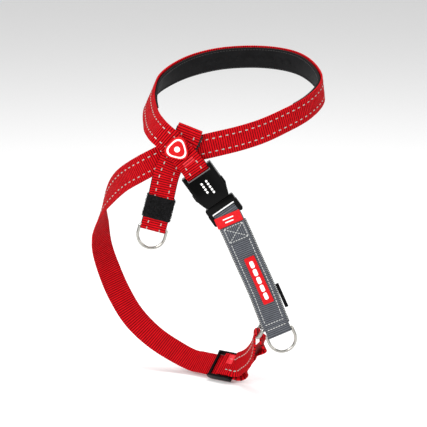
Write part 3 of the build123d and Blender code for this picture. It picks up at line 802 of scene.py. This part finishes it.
pad_rows = strap_rows(handle_route, handle_rolls, 0.0, 1.5, 5.5)
handle_pad = puffed("handle_soft_pad", length_of(pad_rows), 23.2 * mm, 3 * mm, 1.6 * mm, 0.5 * mm)
grey_neoprene = neoprene("knit_faced_grey_neoprene", "4a4c51")
finished(lay(handle_pad, pad_rows), grey_neoprene)
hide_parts("handle_pad")
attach(handle_pad, "handle")
binding = finished(thread_rows("handle_binding_stitches", pad_rows, (-10.9 * mm, 10.9 * mm), 1.5 * mm, 1 * mm,
                               length_of(pad_rows) - 1 * mm, 0.6 * mm, 1.7 * mm, 1.45 * mm), pale_thread)
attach(binding, "handle")


patch_down = 17.5               # from the buckle's bar to the middle of the patch, tag and label
tag_down = 5.4
label_down, label_aside = 60.5, 2.4
side_tag_down, side_tag_aside = 80.0, 14.0


def on_handle(piece, down, out, aside=0.0):
    """Puts a piece made flat, with its length along Y, on the handle's front: down from the buckle's
    bar, out from the webbing's middle line, and aside across it, all in mm."""
    spot = (male_bar - handle_up * down + handle_out * out + handle_across * aside) * mm
    turn = Matrix((handle_across, handle_up, handle_out)).transposed().to_4x4()
    piece.data.transform(Matrix.Translation(spot) @ turn)
    return piece


def plate(name, wide, tall, thick, corner, soft):
    """A flat rectangle with rounded corners and edges."""
    deselect()
    bpy.ops.mesh.primitive_plane_add(size=1)
    bpy.ops.transform.resize(value=(wide, tall, 1))
    flat = named(name)
    modify(flat, "BEVEL", width=corner, segments=4, affect="VERTICES", limit_method="NONE")
    modify(flat, "SOLIDIFY", thickness=thick, offset=0)
    modify(flat, "BEVEL", width=soft, segments=3, limit_method="ANGLE", angle_limit=math.radians(50))
    map_flat(flat)
    return flat


patch = plate("handle_box_patch", 19 * mm, 14.4 * mm, 0.9 * mm, 0.6 * mm, 0.25 * mm)
finished(on_handle(patch, patch_down, 3.7, handle_bow), grey_webbing)


def seam(name, start, end, level, material, pitch=2.2, long=1.5, wide=0.6):
    """A straight seam between two spots on the handle's front, in mm across and down."""
    a, b = Vector(start), Vector(end)
    count = max(2, round((b - a).length / pitch))
    threads = []
    for k in range(count):
        deselect()
        bpy.ops.mesh.primitive_cube_add(size=1)
        bpy.ops.transform.resize(value=(wide * mm, long * mm, 0.45 * mm))
        grain = named("%s_%02d" % (name, k))
        modify(grain, "BEVEL", width=0.12 * mm, segments=1)
        spot = a.lerp(b, (k + 0.5) / count)
        lean = math.atan2(b.x - a.x, b.y - a.y)
        grain.data.transform(Matrix.Rotation(lean, 4, "Z"))
        threads.append(on_handle(grain, spot.y, level, spot.x))
    group = joined(*threads)
    group.name = name
    return finished(group, material)


box = [(-6.8, 11.4), (9.2, 11.4), (9.2, 23.6), (-6.8, 23.6)]
lines = [(box[k], box[(k + 1) % 4]) for k in range(4)] + [(box[0], box[2]), (box[1], box[3])]
box_seams = [seam("box_seam_%d" % k, a, b, 4.25, pale_thread) for k, (a, b) in enumerate(lines)]
joined(patch, *box_seams)
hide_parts("box_patch")
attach(patch, "handle")


def ribbon(name, code):
    """Woven satin ribbon: very fine crosswise weft, smooth, with a soft shine."""
    material, shader = new_material(name, {"Roughness": 0.42, "Specular IOR Level": 0.15})
    flat = add(material, "TexCoord").outputs["UV"]
    part = add(material, "SeparateXYZ", {0: flat})
    turn = add(material, "Math", {0: part.outputs["Y"], 1: 2 * math.pi / (0.5 * mm)}, operation="MULTIPLY")
    weft = add(material, "Math", {0: turn.outputs[0]}, operation="SINE")
    cloud = add(material, "TexNoise", {"Vector": flat, "Scale": 1 / (3 * mm), "Detail": 3})
    fade = add(material, "MapRange", {0: cloud.outputs["Fac"], 1: 0.3, 2: 0.7, 3: 0.9, 4: 1.06})
    tint = add(material, "HueSaturation", {"Color": colour(code), "Value": fade.outputs[0]})
    link(material, tint.outputs["Color"], shader.inputs["Base Color"])
    bump = add(material, "Bump", {"Height": weft.outputs[0], "Strength": 0.3, "Distance": 0.08 * mm})
    link(material, bump.outputs["Normal"], shader.inputs["Normal"])
    return material


red_ribbon = ribbon("red_satin_ribbon", "cc141b")
tag = plate("ribbon_tag", 21.5 * mm, 9 * mm, 1.0 * mm, 0.4 * mm, 0.3 * mm)
finished(on_handle(tag, tag_down, 3.8), red_ribbon)
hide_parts("buckle_tag")
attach(tag, "handle")
tag_marks = []
for row, (down, wide) in enumerate(((4.0, 9.0), (6.8, 7.0))):
    mark = plate("ribbon_tag_mark_%d" % row, wide * mm, 0.9 * mm, 0.2 * mm, 0.3 * mm, 0.05 * mm)
    tag_marks.append(finished(on_handle(mark, down, 4.38), white_rubber))
marks = joined(*tag_marks)
marks.name = "ribbon_tag_marks"
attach(marks, "handle")

label = plate("rubber_label", 8.8 * mm, 41 * mm, 1.2 * mm, 1.0 * mm, 0.35 * mm)
finished(on_handle(label, label_down, 3.85, label_aside), red_rubber)
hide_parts("handle_label")
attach(label, "handle")
label_marks = []
for k in range(-2, 3):
    mark = plate("label_mark_%d" % (k + 2), 3.2 * mm, 5.9 * mm, 0.5 * mm, 1.2 * mm, 0.15 * mm)
    label_marks.append(finished(on_handle(mark, label_down + 7 * k, 4.55, label_aside), white_rubber))
inlay = joined(*label_marks)
inlay.name = "label_raised_marks"
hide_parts("label_inlay")
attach(inlay, "handle")

side_tag = plate("side_tag_black", 2.8 * mm, 21 * mm, 0.9 * mm, 0.3 * mm, 0.2 * mm)
finished(on_handle(side_tag, side_tag_down, 0, side_tag_aside), black_webbing)
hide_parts("side_tag")
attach(side_tag, "handle")

# ---- Slider ----
# A three-bar slider moulded in black acetal with a grained skin.  The strap runs under its outer bars
# and its sewn end holds the middle one.
slider = finished(softened("strap_slider", "slider", 0.5 * mm, 3), matt_acetal)
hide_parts("slider")
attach(slider, "slider")

# ---- Rings ----
# Two D-rings and the oblong link ring are bent from steel wire, welded, and nickel plated.


def nickel(name, code):
    """Nickel plate on drawn wire: bright, slightly warm, with fine rub marks that blur its shine."""
    material, shader = new_material(name, {"Metallic": 1.0, "Roughness": 0.2})
    place = add(material, "TexCoord").outputs["Object"]
    rubs = add(material, "TexNoise", {"Vector": place, "Scale": 1 / (1.5 * mm), "Detail": 5})
    gloss = add(material, "MapRange", {0: rubs.outputs["Fac"], 1: 0.3, 2: 0.7, 3: 0.12, 4: 0.3})
    link(material, gloss.outputs[0], shader.inputs["Roughness"])
    fade = add(material, "MapRange", {0: rubs.outputs["Fac"], 1: 0.3, 2: 0.7, 3: 0.9, 4: 1.05})
    tint = add(material, "HueSaturation", {"Color": colour(code), "Value": fade.outputs[0]})
    link(material, tint.outputs["Color"], shader.inputs["Base Color"])
    return material


nickel_wire = nickel("nickel_plated_wire", "a8a6a0")
for ring in ("tab_d_ring", "end_d_ring", "link_ring"):
    nodes[ring].data.materials.clear()
    nodes[ring].data.materials.append(nickel_wire)
link_tab = finished(softened("link_ring_tab", "link_tab", 0.3 * mm), black_webbing)
map_flat(link_tab)
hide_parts("link_tab")
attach(link_tab, "handle")

# ---- Studio ----
# A plain pale floor, a large soft light each side and above, and a long lens a little above the halter.
deselect()
low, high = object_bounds()
bpy.ops.mesh.primitive_plane_add(size=14, location=(0, 0, low.z - 1 * mm))
floor = named("studio_floor")
pale, pale_shader = new_material("pale_paper", {"Roughness": 0.9})
pale_shader.inputs["Base Color"].default_value = colour("fafafa")
floor.data.materials.append(pale)

bpy.context.scene.view_settings.view_transform = "Standard"
world = bpy.data.worlds.new("soft_studio")
bpy.context.scene.world = world
world.use_nodes = True
world.node_tree.nodes["Background"].inputs["Color"].default_value = (1, 1, 1, 1)
world.node_tree.nodes["Background"].inputs["Strength"].default_value = 0.62


def soft_light(name, place, size, power):
    """A square soft light that faces the halter."""
    lamp = bpy.data.lights.new(name, "AREA")
    lamp.size = size
    lamp.energy = power
    stand = bpy.data.objects.new(name, lamp)
    bpy.context.collection.objects.link(stand)
    stand.location = place
    stand.rotation_euler = (Vector((0, 0, -0.09)) - Vector(place)).to_track_quat("-Z", "Y").to_euler()


soft_light("left_light", (-0.9, -1.1, 0.7), 0.7, 17)
soft_light("right_light", (1.1, -0.9, 0.5), 0.8, 7)
soft_light("top_light", (0.1, 0.2, 1.4), 1.0, 15)
aim = Vector((-18.3, -20, -90.3)) * mm
view_rise = math.radians(12)
lens = bpy.data.cameras.new("studio_camera")
lens.lens = 200
lens.sensor_width = 36
camera = bpy.data.objects.new("studio_camera", lens)
bpy.context.collection.objects.link(camera)
camera.location = aim + Vector((0, -math.cos(view_rise), math.sin(view_rise))) * 1.933
camera.rotation_euler = (aim - camera.location).to_track_quat("-Z", "Y").to_euler()
bpy.context.scene.camera = camera
